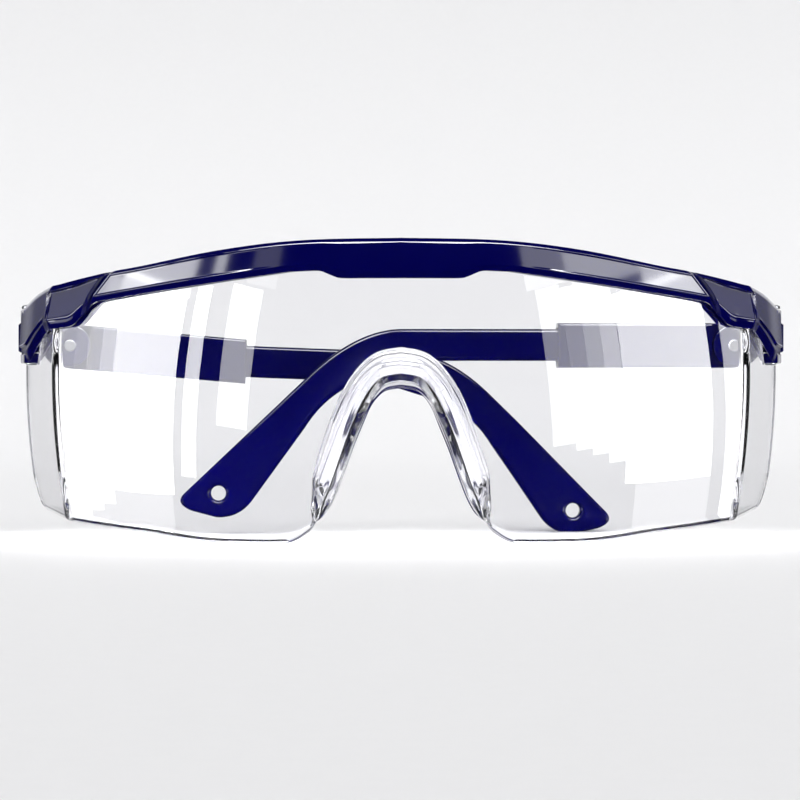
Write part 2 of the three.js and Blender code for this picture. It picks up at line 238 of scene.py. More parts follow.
def along_at(x, height):
    """The length along the wrap of a point seen in front view at x and height, for +X."""
    x, height = np.broadcast_arrays(np.asarray(x, float), np.asarray(height, float))
    out = np.empty(x.shape)
    for i, (one_x, one_height) in enumerate(zip(x.flat, height.flat)):
        xs = wrap_point(ALONG_TABLE, 0.0, one_height)[:, 0]
        out.flat[i] = np.interp(one_x, xs, ALONG_TABLE)
    return out


def to_row(points):
    """CAD millimetres to metres in the row frame."""
    return np.asarray(points, float).reshape(-1, 3) * MM + ORIGIN


# ---- Materials ------------------------------------------------------------------------

def polished_navy_nylon(settings):
    """Injection-moulded nylon, polished in the tool: a deep navy with a clear, slightly
    uneven gloss, from the faint orange peel that thick sections get as they cool."""
    material, tree, shader = new_material("polished_navy_nylon")
    place = add_node(tree, "ShaderNodeTexCoord")
    flow = add_node(tree, "ShaderNodeTexNoise", inputs={
        "Vector": place.outputs["Object"], "Scale": 1 / (14 * MM), "Detail": 3.0, "Roughness": 0.5})
    tone = add_node(tree, "ShaderNodeMix", {"data_type": "RGBA"}, {
        "Factor": flow.outputs["Fac"], "A": linear("010046"), "B": linear("030350")})
    peel = add_node(tree, "ShaderNodeTexNoise", inputs={
        "Vector": place.outputs["Object"], "Scale": 1 / (1.6 * MM), "Detail": 2.0})
    gloss = add_node(tree, "ShaderNodeMapRange", inputs={
        "Value": flow.outputs["Fac"], "To Min": 0.05, "To Max": 0.1})
    bump = add_node(tree, "ShaderNodeBump", inputs={
        "Height": peel.outputs["Fac"], "Strength": 0.04, "Distance": 0.03 * MM})
    tree.links.new(tone.outputs["Result"], shader.inputs["Base Color"])
    tree.links.new(gloss.outputs["Result"], shader.inputs["Roughness"])
    tree.links.new(bump.outputs["Normal"], shader.inputs["Normal"])
    shader.inputs["IOR"].default_value = 1.53
    shader.inputs["Specular IOR Level"].default_value = settings.frame_gloss
    return material


def tumbled_navy_nylon(settings):
    """The temples' nylon: the same navy with a little more haze, and fine handling scuffs
    that only show as a breaking-up of the gloss."""
    material, tree, shader = new_material("tumbled_navy_nylon")
    place = add_node(tree, "ShaderNodeTexCoord")
    cloud = add_node(tree, "ShaderNodeTexNoise", inputs={
        "Vector": place.outputs["Object"], "Scale": 1 / (9 * MM), "Detail": 4.0})
    stretch = add_node(tree, "ShaderNodeMapping", inputs={
        "Vector": place.outputs["Object"], "Scale": (0.25, 1.0, 1.0), "Rotation": (0.0, 0.5, 0.0)})
    scuff = add_node(tree, "ShaderNodeTexNoise", inputs={
        "Vector": stretch.outputs["Vector"], "Scale": 1 / (0.7 * MM), "Detail": 5.0, "Roughness": 0.7})
    tone = add_node(tree, "ShaderNodeMix", {"data_type": "RGBA"}, {
        "Factor": cloud.outputs["Fac"], "A": linear("01003C"), "B": linear("020246")})
    both = add_node(tree, "ShaderNodeMath", {"operation": "MULTIPLY"}, {
        0: cloud.outputs["Fac"], 1: scuff.outputs["Fac"]})
    gloss = add_node(tree, "ShaderNodeMapRange", inputs={
        "Value": both.outputs["Value"], "From Min": 0.1, "From Max": 0.45, "To Min": 0.07, "To Max": 0.16})
    bump = add_node(tree, "ShaderNodeBump", inputs={
        "Height": scuff.outputs["Fac"], "Strength": 0.05, "Distance": 0.03 * MM})
    tree.links.new(tone.outputs["Result"], shader.inputs["Base Color"])
    tree.links.new(gloss.outputs["Result"], shader.inputs["Roughness"])
    tree.links.new(bump.outputs["Normal"], shader.inputs["Normal"])
    shader.inputs["IOR"].default_value = 1.53
    shader.inputs["Specular IOR Level"].default_value = settings.temple_gloss
    return material


def clear_polycarbonate(settings):
    """Optical polycarbonate, moulded clear. Its high index gathers dark and light lines in its
    edges, and moulding leaves a very long, very faint waviness."""
    material, tree, shader = new_material("clear_polycarbonate")
    place = add_node(tree, "ShaderNodeTexCoord")
    wave = add_node(tree, "ShaderNodeTexNoise", inputs={
        "Vector": place.outputs["Object"], "Scale": 1 / (22 * MM), "Detail": 1.0})
    bump = add_node(tree, "ShaderNodeBump", inputs={
        "Height": wave.outputs["Fac"], "Strength": 0.05, "Distance": 0.3 * MM})
    tree.links.new(bump.outputs["Normal"], shader.inputs["Normal"])
    shader.inputs["Base Color"].default_value = linear(settings.lens_tint)
    shader.inputs["Roughness"].default_value = 0.015
    shader.inputs["IOR"].default_value = 1.585
    shader.inputs["Transmission Weight"].default_value = 1.0
    return material


def turned_steel(settings):
    """Bright turned steel: grey, with a fine grain that breaks up its gloss."""
    material, tree, shader = new_material("turned_steel")
    place = add_node(tree, "ShaderNodeTexCoord")
    grain = add_node(tree, "ShaderNodeTexNoise", inputs={
        "Vector": place.outputs["Object"], "Scale": 1 / (0.35 * MM), "Detail": 4.0})
    tone = add_node(tree, "ShaderNodeMix", {"data_type": "RGBA"}, {
        "Factor": grain.outputs["Fac"], "A": linear("A9ABB1"), "B": linear("D2D4D8")})
    gloss = add_node(tree, "ShaderNodeMapRange", inputs={
        "Value": grain.outputs["Fac"], "To Min": 0.22, "To Max": 0.4})
    bump = add_node(tree, "ShaderNodeBump", inputs={
        "Height": grain.outputs["Fac"], "Strength": 0.2, "Distance": 0.02 * MM})
    tree.links.new(tone.outputs["Result"], shader.inputs["Base Color"])
    tree.links.new(gloss.outputs["Result"], shader.inputs["Roughness"])
    tree.links.new(bump.outputs["Normal"], shader.inputs["Normal"])
    shader.inputs["Metallic"].default_value = 1.0
    return material


MATERIALS = {}


def finish_of(name, settings):
    """The named material, made once."""
    makers = {"frame": polished_navy_nylon, "temple": tumbled_navy_nylon,
              "lens": clear_polycarbonate, "steel": turned_steel}
    if name not in MATERIALS:
        MATERIALS[name] = makers[name](settings)
    return MATERIALS[name]


# ---- Lens -----------------------------------------------------------------------------

# Outlines run from the middle towards +X, as seen from the front.
LENS_TOP = [(0, 55), (19.7, 54.6), (34.8, 53), (50.3, 50.2), (58.4, 48.9), (66, 47), (71, 45)]
LENS_UNDER_ARM = [(72.6, 42), (73, 37.4), (73.6, 34.5)]
NOSE_OPENING = [(0, 29.8), (3.2, 29.1), (5.5, 26.5), (7.2, 22.5), (9.2, 17.5), (10.8, 13), (12.8, 8),
                (15, 4.7), (18, 2.1), (20.8, 0.4)]
NOSE_REAR = [(0, 36), (4.1, 35.1), (7.3, 32.3), (10.1, 27.8), (12.7, 21.2), (15, 14.1), (17.2, 7), (17.9, 3)]
LENS_FOOT = [(24, 0), (35, 0), (41.6, 0.5), (48.4, 1.5), (58, 2.5), (66.4, 3.5)]
SIDE_RISE = 0.09
SIDE_CORNER = 6.0
EDGE_ROUND = 0.95
EDGE_STEPS = 9
EDGE_MARGIN = 0.12
BRIDGE_REACH = 8.0
BRIDGE_WALL = 1.9
BRIDGE_FILLET = 0.5
BRIDGE_ROOT = 0.9
BRIDGE_FADE = (0.74, 0.88)
LIP_ROUND = 0.15
UPWARD = np.array([0.0, 0.0, 1.0])


def both_sides(half):
    """Loops for the whole width from those of +X, of which the first is in the middle."""
    half[0, :, 0] = 0.0
    other = half[1:].copy()
    other[:, :, 0] *= -1
    return np.concatenate([other[::-1], half])


def loops_mesh(name, loops, caps):
    """A mesh in the row frame from closed loops and the faces that close its two ends."""
    faces = loop_faces(len(loops), loops.shape[1], close_columns=True) + caps
    mesh = bpy.data.meshes.new(name)
    mesh.from_pydata([tuple(p) for p in to_row(loops)], [], faces)
    return mesh


def lens_half(columns, rows):
    """Closed profile loops of the lens for +X, from the middle to the rear edge of the side."""
    edge = spline(NOSE_OPENING + LENS_FOOT, columns * 2 // 3)
    nose = edge[:int(np.argmax(edge[:, 0] > NOSE_OPENING[-1][0]))]
    rear = spline(NOSE_REAR, len(nose))
    edge_along = along_at(edge[:, 0], edge[:, 1])
    side_along = np.linspace(edge_along[-1], WRAP_END, columns - len(edge) + 1)[1:]
    corner_lift = SIDE_CORNER * np.clip((side_along - (WRAP_END - SIDE_CORNER)) / SIDE_CORNER, 0, 1) ** 3
    side_height = LENS_FOOT[-1][1] + (side_along - edge_along[-1]) * SIDE_RISE + corner_lift
    low_along = np.concatenate([edge_along, side_along])
    low_height = np.concatenate([edge[:, 1], side_height])
    high_along, high_height = lens_top(columns)
    loops = []
    for i in range(columns):
        strength = float(1 - ease(i / len(nose), *BRIDGE_FADE)) if i < len(nose) else 0.0
        ways = edge_ways(low_along[i], nose, rear, i, strength)
        low, high = (low_along[i], low_height[i]), (high_along[i], high_height[i])
        loops.append(lens_profile(low, high, ways, strength, rows))
    return np.array(loops)


def lens_top(columns):
    """Where the columns end at the top: evenly along the wrap, the last one on the rear edge."""
    top = np.array(LENS_TOP + LENS_UNDER_ARM, float)
    top_along = np.append(along_at(top[:, 0], top[:, 1]), WRAP_END)
    top_height = np.append(top[:, 1], LENS_UNDER_ARM[-1][1])
    share = np.linspace(0, 1, columns)
    last = share ** 6
    high_along = share * WRAP_END * 0.999 * (1 - last) + WRAP_END * last
    return high_along, np.interp(high_along, top_along, top_height)


def edge_ways(low_along, nose, rear, i, strength):
    """The way the lower edge runs back, the way the wall faces above it, and how far the wall
    spreads: the nose bridge runs straight back, and the rest is square to the lens."""
    if strength == 0:
        turn = wrap_plan(abs(low_along))[2]
        return np.array([-math.sin(turn), math.cos(turn), 0.0]), UPWARD, np.zeros(3)
    ahead = nose[min(i + 1, len(nose) - 1)] - nose[max(i - 1, 0)]
    ahead = ahead / np.linalg.norm(ahead)
    outward = np.array([-ahead[1], 0.0, ahead[0]])
    if i == 0:
        outward = UPWARD
    elif outward[0] < 0:
        outward = -outward
    spread = np.array([rear[i][0] - nose[i][0], 0.0, rear[i][1] - nose[i][1]]) * strength
    return np.array([0.0, 1.0, 0.0]), outward, spread


def lens_profile(low, high, ways, strength, rows):
    """One closed loop: down the front face, round the edge or nose bridge, up the back face."""
    back_way, outward, spread = ways
    lift = EDGE_ROUND * (1 - strength)
    high = np.array(high)
    low = np.array(low) + np.array([0.0, lift])
    down = np.linspace(0, 1, rows)
    front = wrap_point(high[0] + (low[0] - high[0]) * down, 0.0, high[1] + (low[1] - high[1]) * down)
    edge = front[-1]
    wall = BRIDGE_WALL * min(1.0, 3 * strength)
    reach = LENS_WALL + BRIDGE_REACH * strength
    backs = [0.5 - 0.5 * math.cos(t) for t in np.linspace(EDGE_MARGIN, math.pi - EDGE_MARGIN, EDGE_STEPS)]
    inner_wall = [edge + back_way * reach * b + spread * math.sqrt(b)
                  - UPWARD * lift * math.sqrt(max(0.0, 1 - (2 * b - 1) ** 2)) for b in backs]
    tip = edge + back_way * reach + spread
    lip = [tip - back_way * LIP_ROUND + outward * wall * EDGE_MARGIN,
           tip + outward * wall * 0.5,
           tip - back_way * LIP_ROUND + outward * wall * (1 - EDGE_MARGIN)]
    outer_wall = [edge + back_way * (reach * b + LENS_WALL * (1 - b)) + spread * math.sqrt(b)
                  + outward * (wall + BRIDGE_FILLET * (1 - b) ** 3 * strength)
                  for b in np.linspace(0.93, EDGE_MARGIN, EDGE_STEPS)]
    start = 1 - (wall + BRIDGE_ROOT * strength + 0.05) / max(np.hypot(*(high - low)), 1.0)
    up = np.linspace(start, 0, rows)
    back = wrap_point(high[0] + (low[0] - high[0]) * up, -LENS_WALL, high[1] + (low[1] - high[1]) * up)
    return np.vstack([front, inner_wall, lip, outer_wall, back])


def build_lens(settings):
    """The clear lens: a wrap front with the nose bridge, and a side shield at each end."""
    rows = settings.lens_rows
    loops = both_sides(lens_half(settings.lens_columns, rows))
    mesh = loops_mesh("lens", loops, end_caps(len(loops), loops.shape[1], rows))
    return finish_mesh("lens_shell", mesh, finish_of("lens", settings), 38)


def end_caps(loop_count, points, rows):
    """Closes the two rear ends, face to face across the wall."""
    faces = []
    for first in (0, (loop_count - 1) * points):
        for j in range(rows - 1):
            last = first + points - 1 - j
            faces.append((first + j, first + j + 1, last - 1, last))
        faces.append(tuple(range(first + rows - 1, first + points - rows + 1)))
    return faces


# ---- Brow frame -----------------------------------------------------------------------

BROW_TOP = [(0, 58.3), (19.7, 57.9), (34.8, 56.3), (50.3, 53.5), (58.4, 52.2), (71.2, 49.3), (78.6, 45.9)]
BROW_FOOT = [(0, 50.6), (11.4, 50.6), (12.4, 50.7), (15.2, 51.9), (16.2, 52.1), (21.5, 51.9), (59.3, 46.7),
             (60.3, 46.2), (64, 42.4), (65, 41.9), (70, 41.2), (71, 40.4), (75.6, 35.3), (78.6, 34.9)]
FOOT_ROLL = 0.75
TOP_ROLL = 0.7
CHANNEL_ALONG = 62.0
CHANNEL_HALF = 1.15
CHANNEL_DEPTH = 0.9
CHANNEL_LEAN = -1.0
PANEL_START = 22.0
PANEL_FADE = 22.0
PANEL_FOOT = 0.21
PANEL_TOP = 0.86
PANEL_SINK = 0.22
POD_TILT = 0.13
RIM_HEIGHT = 0.16
RIM_HALF = 0.28
ARM_STRIP = 0.28
ARM_SINK = 0.4
ARM_TAPER = 0.3
GROOVE_DEPTH = 4.8
GROOVE_ROOF = 2.9


def edge_table(line, inset):
    """Lengths along the wrap and heights of an edge given as seen from the front."""
    line = np.array(line, float)
    along = along_at(line[:, 0] - inset, line[:, 1])
    along[0] = 0.0
    return along, line[:, 1]


FOOT_TABLE = edge_table(BROW_FOOT, 0.4)
TOP_TABLE = edge_table(spline(BROW_TOP, 60), 0.8)


def frame_lines(along):
    """Heights of the frame's lower and upper edges at lengths along the wrap."""
    return np.interp(along, *FOOT_TABLE), np.interp(along, *TOP_TABLE)


def rim(distance):
    """The small round rim along a panel's edge, at a distance in mm from its crest."""
    return RIM_HEIGHT * np.clip(1 - (np.asarray(distance) / RIM_HALF) ** 2, 0, 1)


def frame_relief(station, along, share, tall):
    """How far the outer face stands off, in mm: rolled edges, sunk panels inside rims, and a
    diagonal channel that ramps down towards the end pod. Stations follow the channel's lean,
    along runs on the true wrap, and share runs from the foot to the top."""
    corner = FRONT_ARC + CORNER_ARC
    in_pod = station >= CHANNEL_ALONG
    inside = np.minimum((share - PANEL_FOOT) * tall, (PANEL_TOP - share) * tall)
    inside = np.minimum(inside, abs(station - CHANNEL_ALONG) - CHANNEL_HALF)
    if in_pod:
        inside = np.minimum(inside, corner - along - 0.4)
    fade = 1.0 if in_pod else float(ease(station, PANEL_START, PANEL_START + PANEL_FADE))
    sunk = ease(inside, -0.15, 0.25)
    relief = FRAME_PROUD - FOOT_ROLL * (1 - np.clip(share / 0.19, 0, 1)) ** 1.3
    relief = relief - TOP_ROLL * np.clip((share - 0.87) / 0.13, 0, 1) ** 1.5
    if in_pod:
        relief = relief - POD_TILT * (share - 0.5) * tall * sunk
    relief = relief - PANEL_SINK * fade * sunk + fade * rim(inside)
    across = (station - CHANNEL_ALONG + CHANNEL_HALF) / (2 * CHANNEL_HALF)
    relief = relief - CHANNEL_DEPTH * float(np.interp(across, [0, 0.85, 1], [0, 1, 0]))
    strip_edge = (share - ARM_STRIP) * tall
    arm = ease(along, corner + 1.4, corner + 2.2)
    relief = relief - arm * (ARM_SINK * (1 - ease(strip_edge, -0.2, 0.1)) - rim(strip_edge))
    return relief - ARM_TAPER * ease(along, 84, WRAP_END)


def frame_corner(points, along):
    """Sharpens the plan corner of the outer face into two flat facets."""
    half_turn = (SIDE_TURN - FRONT_TURN) / 2
    in_corner = np.abs(np.abs(along) - (FRONT_ARC + CORNER_ARC / 2)) < CORNER_ARC / 2
    heading = wrap_plan(np.abs(along))[2]
    away = np.abs(heading - (FRONT_TURN + SIDE_TURN) / 2)
    stretch = 1 / np.cos(np.clip(half_turn - away, 0, half_turn)) - 1
    extra = (CORNER_RADIUS + FRAME_PROUD) * stretch * in_corner
    points[..., 0] += np.where(along < 0, -1.0, 1.0) * extra * np.sin(heading)
    points[..., 1] -= extra * np.cos(heading)
    return points


def build_frame(settings):
    """The brow frame in one piece. Its sections and the points in them lie closer together
    where the channel, the rims and the rolled edges need it."""
    stations = np.concatenate([
        np.arange(0, 18, 0.75), np.arange(18, 59, 1.0), np.arange(59, 65, 0.14), np.arange(65, 71.7, 0.5),
        np.arange(71.7, 79, 0.16), np.arange(79, WRAP_END, 1.2), [WRAP_END]])
    leans = CHANNEL_LEAN * ease(stations, 34, 54) * (1 - ease(stations, 64, 84))
    shares = np.concatenate([
        [0, 0.03, 0.06, 0.09, 0.12], np.arange(0.145, 0.33, 0.011), np.linspace(0.36, 0.78, 8),
        np.arange(0.8, 0.93, 0.011), [0.945, 0.965, 0.985, 1.0]])
    half = np.array([frame_profile(station, lean, shares) for station, lean in zip(stations, leans)])
    loops = both_sides(half)
    points = loops.shape[1]
    last = (len(loops) - 1) * points
    bar = loops_mesh("bar", loops, [tuple(range(points)), tuple(range(last, last + points))])
    return finish_mesh("brow_bar", join_meshes([bar] + hinge_lugs(-1) + hinge_lugs(1)),
                       finish_of("frame", settings), 24)


def frame_profile(station, lean, shares):
    """One closed section of the frame: up the outer face, over, down inside, and the groove."""
    foot, top = frame_lines(station)
    along = np.minimum(station + lean * (top - foot) * (shares - 0.5), WRAP_END)
    foots, tops = frame_lines(np.maximum(along, 0))
    heights = foots + (tops - foots) * shares
    out = frame_relief(station, along, shares, float((tops - foots).mean()))
    outer = frame_corner(wrap_point(along, out, heights), along)
    inner = FRAME_PROUD - FRAME_DEPTH
    low_height, top_height = heights[0], heights[-1]
    over = wrap_point(along[-1], np.linspace(0.4, inner + 0.8, 5), top_height + 0.05)
    inside = wrap_point(np.linspace(along[-1], along[0], 8), inner,
                        np.linspace(top_height - 0.5, low_height + 0.5, 8))
    groove_top = max(min(top_height - GROOVE_ROOF, low_height + GROOVE_DEPTH), low_height + 0.6)
    groove = np.array([low_height + 0.3, groove_top])
    back_wall = -LENS_WALL - GROOVE_GAP
    inner_lip = wrap_point(along[0], np.array([inner + 0.4, back_wall - 0.2]), low_height)
    groove_in = wrap_point(along[0], back_wall, groove)
    groove_out = wrap_point(along[0], GROOVE_GAP, groove[::-1])
    outer_lip = wrap_point(along[0], np.array([GROOVE_GAP + 0.2]), low_height)
    return np.vstack([outer, over, inside, inner_lip, groove_in, groove_out, outer_lip])


def hinge_lugs(side):
    """The two rounded ears behind a side arm, with the bore of the fold pin."""
    outline = [(-2.8 * side, -6.4), (0.6 * side, -6.4), (1.9 * side, -2.4)]
    outline += [(side * (LUG_RADIUS * math.cos(a) - 0.5), LUG_RADIUS * math.sin(a))
                for a in np.linspace(0, math.pi, 24)]
    bore = arc((0, 0), LUG_BORE, 0, 360, 33)[:-1]
    made = []
    for low, high in (LOWER_LUG, UPPER_LUG):
        ear = profile_plate([outline, bore], high - low, 0.3, upright=False)
        middle = (low + high) / 2 * MM + ORIGIN[2]
        ear.transform(Matrix.Translation((PIN_PLACE.x * side, PIN_PLACE.y, middle)) @ Matrix.Scale(MM, 4))
        made.append(ear)
    return made


# ---- Temples --------------------------------------------------------------------------

# Temple coordinates: X back along the temple from the fold pin, Z up from the table.
SLEEVE_END = 44.6
SLEEVE_HALF = 4.55
SLEEVE_THICK = 5.2
BLOCK_POCKET_END = 13.1
SLOT_START = 14.2
SLOT_GAP = 0.3
SAG_SLACK = 0.4
DETENTS = (17, 24, 31, 38)
BAR_START = 28.9
BAR_FOOT = 35.4
BAR_TOP = 41.9
BAR_THICK = 3.2
BEND_START = 68.8
LANYARD_HOLE = (113.8, 8.5)
SAG = 2.1
SAG_RETURN = 1.6
DISC_RADIUS = 4.3
DISC_THICK = 2.25
DISC_GAP = 0.15
CROSS_HALF = 1.3


def temple_matrix(side, tilted):
    """Places temple coordinates, in mm from the fold pin and the table, in the row frame."""
    tilt = JOINTS[f"{side}_tilt"]
    across = Vector(tilt["axis"]).normalized()
    if tilted:
        length = Vector(JOINTS[f"{side}_slide"]["axis"]).normalized()
    else:
        length = across.cross(Vector((0, 0, 1))).normalized()
    up = length.cross(across)
    turn = Matrix((length, across, up)).transposed().to_4x4()
    pivot = Matrix.Translation(Vector(tilt["pos_m"]))
    back = Matrix.Translation(Vector((-TILT_ALONG, 0, -TILT_HEIGHT)))
    return pivot @ turn @ Matrix.Scale(MM, 4) @ back


def profile_plate(outlines, thickness, edge, upright=True):
    """A plate from closed outlines in X and Z, or in X and Y if not upright, the later ones
    holes, with rounded edges."""
    curve = bpy.data.curves.new("outline", "CURVE")
    curve.dimensions = "2D"
    curve.fill_mode = "BOTH"
    curve.extrude = thickness / 2 - edge
    curve.bevel_depth = edge
    curve.bevel_resolution = 4
    curve.offset = -edge
    for outline in outlines:
        ring = curve.splines.new("POLY")
        ring.points.add(len(outline) - 1)
        for point, (x, z) in zip(ring.points, outline):
            point.co = (x, z, 0, 1)
        ring.use_cyclic_u = True
    made = bpy.data.objects.new("outline", curve)
    bpy.context.scene.collection.objects.link(made)
    mesh = plain_copy(made)
    if upright:
        mesh.transform(Matrix.Rotation(math.pi / 2, 4, "X"))
    return mesh


def loose_object(mesh):
    """An object for a mesh that is still being worked on."""
    made = bpy.data.objects.new("loose", mesh)
    bpy.context.scene.collection.objects.link(made)
    return made


def box_object(low, high):
    """A plain box used as a cutter, in temple millimetres."""
    work = bmesh.new()
    bmesh.ops.create_cube(work, size=1)
    middle = [(a + b) / 2 for a, b in zip(low, high)]
    bmesh.ops.scale(work, verts=work.verts, vec=[b - a for a, b in zip(low, high)])
    bmesh.ops.translate(work, verts=work.verts, vec=middle)
    mesh = bpy.data.meshes.new("box")
    work.to_mesh(mesh)
    work.free()
    return loose_object(mesh)


def join_meshes(meshes):
    """One mesh from several."""
    work = bmesh.new()
    for mesh in meshes:
        work.from_mesh(mesh)
    joined = bpy.data.meshes.new("joined")
    work.to_mesh(joined)
    work.free()
    return joined


def arc(centre, radius, start, end, count):
    """Points round a centre from one angle to another, in degrees."""
    turns = np.radians(np.linspace(start, end, count))
    return [(centre[0] + radius * math.cos(a), centre[1] + radius * math.sin(a)) for a in turns]


def bend(start, control, end, count):
    """Points of a quadratic curve, without its start."""
    t = np.linspace(0, 1, count + 1)[1:, None]
    start, control, end = (np.array(p, float) for p in (start, control, end))
    return [tuple(p) for p in start * (1 - t) ** 2 + 2 * control * t * (1 - t) + end * t ** 2]


def fine_grid(mesh):
    """Cuts a mesh across X every 4 mm, so that it can follow a bend."""
    work = bmesh.new()
    work.from_mesh(mesh)
    low = min(v.co.x for v in work.verts)
    high = max(v.co.x for v in work.verts)
    for x in np.arange(low + 4, high, 4):
        everything = list(work.verts) + list(work.edges) + list(work.faces)
        bmesh.ops.bisect_plane(work, geom=everything, plane_co=(x, 0, 0), plane_no=(1, 0, 0), dist=1e-4)
    work.to_mesh(mesh)
    work.free()
    return mesh


def sag(mesh, side):
    """The wearer's right temple hangs a little lower between its tilt screw and its bend."""
    if side == "right":
        for vertex in mesh.vertices:
            x = vertex.co.x
            vertex.co.z -= float(SAG * np.clip((x - 6) / 40, 0, 1) - SAG_RETURN * ease(x, 72, 104))
    return mesh


def build_tip(side, settings):
    """The ear hook: a straight bar that slides in the sleeve, the bend over the ear, and the
    broad flat end with its lanyard hole."""
    outline = [(BAR_START, BAR_TOP), (BAR_START, BAR_FOOT), (BEND_START, BAR_FOOT)]
    outline += bend((BEND_START, BAR_FOOT), (72.6, BAR_FOOT), (76.2, 34.2), 8)
    outline += bend((83, 32), (91.6, 29.2), (96.2, 21.8), 16)
    outline += bend((106.4, 7.8), (109.3, 3.2), (114.3, 3.6), 16)
    outline += bend((118.6, 4.7), (123.3, 6.3), (120.4, 8.8), 16)
    outline += bend((96.9, 31), (86.5, 41.7), (76.6, BAR_TOP), 24)
    hole = arc(LANYARD_HOLE, 1.5, 0, 360, 33)[:-1]
    mesh = sag(fine_grid(profile_plate([outline, hole[::-1]], BAR_THICK, 0.9)), side)
    mesh.transform(temple_matrix(side, True))
    return finish_mesh(f"{side}_ear_hook", mesh, finish_of("temple", settings), 40)


def build_sleeve(side, settings):
    """The sleeve: round at its tilt screw, open inside for the bar, with detent windows below.
    The sagging side has more room round the bar, so that the bent bar still slides."""
    outline = [(SLEEVE_END, TILT_HEIGHT - SLEEVE_HALF), (SLEEVE_END, TILT_HEIGHT + SLEEVE_HALF)]
    outline += arc((TILT_ALONG, TILT_HEIGHT), SLEEVE_HALF, 90, 270, 28)
    body = loose_object(profile_plate([outline], SLEEVE_THICK, 0.7))
    inner = 1 if side == "left" else -1
    low, high = sorted((-DISC_GAP * inner, 4 * inner))
    gap = SLOT_GAP + (SAG_SLACK if side == "right" else 0.0)
    cutters = [
        box_object((0, low, 30), (BLOCK_POCKET_END, high, 47)),
        box_object((SLOT_START, -1.9, BAR_FOOT - gap), (46, 1.9, BAR_TOP + gap)),
        box_object((SLOT_START, -1, 34.45), (46, 1, BAR_FOOT)),
    ]
    cutters += [box_object((at - 1.3, -1, 30), (at + 1.3, 1, 35.3)) for at in DETENTS]
    mesh = sag(fine_grid(cut(body, cutters)), side)
    mesh.transform(temple_matrix(side, True))
    return finish_mesh(f"{side}_sliding_sleeve", mesh, finish_of("temple", settings), 35)


# ---- Hinges ---------------------------------------------------------------------------

def lathe(profile, segments=48):
    """A turned shape about Z from (radius, height) pairs that start and end on the axis."""
    turns = np.linspace(0, 2 * math.pi, segments, endpoint=False)
    points = [(r * math.cos(a), r * math.sin(a), z) for r, z in profile for a in turns]
    faces = loop_faces(len(profile), segments, close_columns=True)
    mesh = bpy.data.meshes.new("turned")
    mesh.from_pydata(points, [], faces)
    work = bmesh.new()
    work.from_mesh(mesh)
    bmesh.ops.remove_doubles(work, verts=work.verts, dist=1e-4)
    bmesh.ops.recalc_face_normals(work, faces=work.faces)
    work.to_mesh(mesh)
    work.free()
    return mesh


def teeth_tree(material):
    """Geometry Nodes that set small wedges round a circle."""
    tree = bpy.data.node_groups.new("Ratchet teeth", "GeometryNodeTree")
    tree.interface.new_socket("Geometry", in_out="OUTPUT", socket_type="NodeSocketGeometry")
    tree.interface.new_socket("Teeth", in_out="INPUT", socket_type="NodeSocketInt")
    for name in ("Radius", "Depth"):
        tree.interface.new_socket(name, in_out="INPUT", socket_type="NodeSocketFloat")
    given = add_node(tree, "NodeGroupInput")
    ring = add_node(tree, "GeometryNodeMeshCircle", inputs={
        "Vertices": given.outputs["Teeth"], "Radius": given.outputs["Radius"]})
    size = add_node(tree, "ShaderNodeCombineXYZ", inputs={"X": 1.5, "Y": 0.35, "Z": given.outputs["Depth"]})
    tooth = add_node(tree, "GeometryNodeMeshCube", inputs={"Size": size.outputs["Vector"]})
    place = add_node(tree, "GeometryNodeInputPosition")
    turn = add_node(tree, "FunctionNodeAlignRotationToVector", {"axis": "X"}, {
        "Vector": place.outputs["Position"]})
    spread = add_node(tree, "GeometryNodeInstanceOnPoints", inputs={
        "Points": ring.outputs["Mesh"], "Instance": tooth.outputs["Mesh"],
        "Rotation": turn.outputs["Rotation"]})
    real = add_node(tree, "GeometryNodeRealizeInstances", inputs={"Geometry": spread.outputs["Instances"]})
    coat = add_node(tree, "GeometryNodeSetMaterial", inputs={
        "Geometry": real.outputs["Geometry"], "Material": material})
    add_node(tree, "NodeGroupOutput", inputs={"Geometry": coat.outputs["Geometry"]})
    return tree


def ratchet_teeth(material, sizes):
    """An object whose modifier makes the tilt ratchet's teeth, in temple millimetres."""
    made = loose_object(bpy.data.meshes.new("teeth"))
    modifier = made.modifiers.new("teeth", "NODES")
    modifier.node_group = teeth_tree(material)
    for socket in modifier.node_group.interface.items_tree:
        if socket.in_out == "INPUT":
            modifier[socket.identifier] = sizes[socket.name]
    return made


def build_block(side, settings):
    """The fold knuckle with the disc that the sleeve tilts against, toothed on its face."""
    inner = 1 if side == "left" else -1
    material = finish_of("frame", settings)
    disc = profile_plate([arc((TILT_ALONG, TILT_HEIGHT), DISC_RADIUS, 0, 360, 65)[:-1]], DISC_THICK, 0.4)
    disc.transform(Matrix.Translation((0, inner * (DISC_GAP + DISC_THICK / 2), 0)))
    knuckle = lathe([(0, 37.2), (2.4, 37.2), (2.7, 37.5), (2.7, 42.9), (2.4, 43.2), (0, 43.2)])
    neck_low, neck_high = sorted((0.2 * inner, 2.3 * inner))
    neck = box_object((0.4, neck_low, 37.4), (8.0, neck_high, 41.8))
    mesh = cut(loose_object(disc), [loose_object(knuckle), neck], "UNION")
    bore = lathe([(0, 36), (1.35, 36), (1.35, 45), (0, 45)])
    mesh = cut(loose_object(mesh), [loose_object(bore)])
    teeth = ratchet_teeth(material, {"Teeth": 30, "Radius": 3.1, "Depth": 0.24})
    face = Matrix.Translation((TILT_ALONG, inner * DISC_GAP, TILT_HEIGHT))
    teeth.matrix_world = face @ Matrix.Rotation(math.pi / 2, 4, "X")
    mesh = join_meshes([mesh, plain_copy(teeth)])
    mesh.transform(temple_matrix(side, False))
    return finish_mesh(f"{side}_ratchet_knuckle", mesh, material, 35)


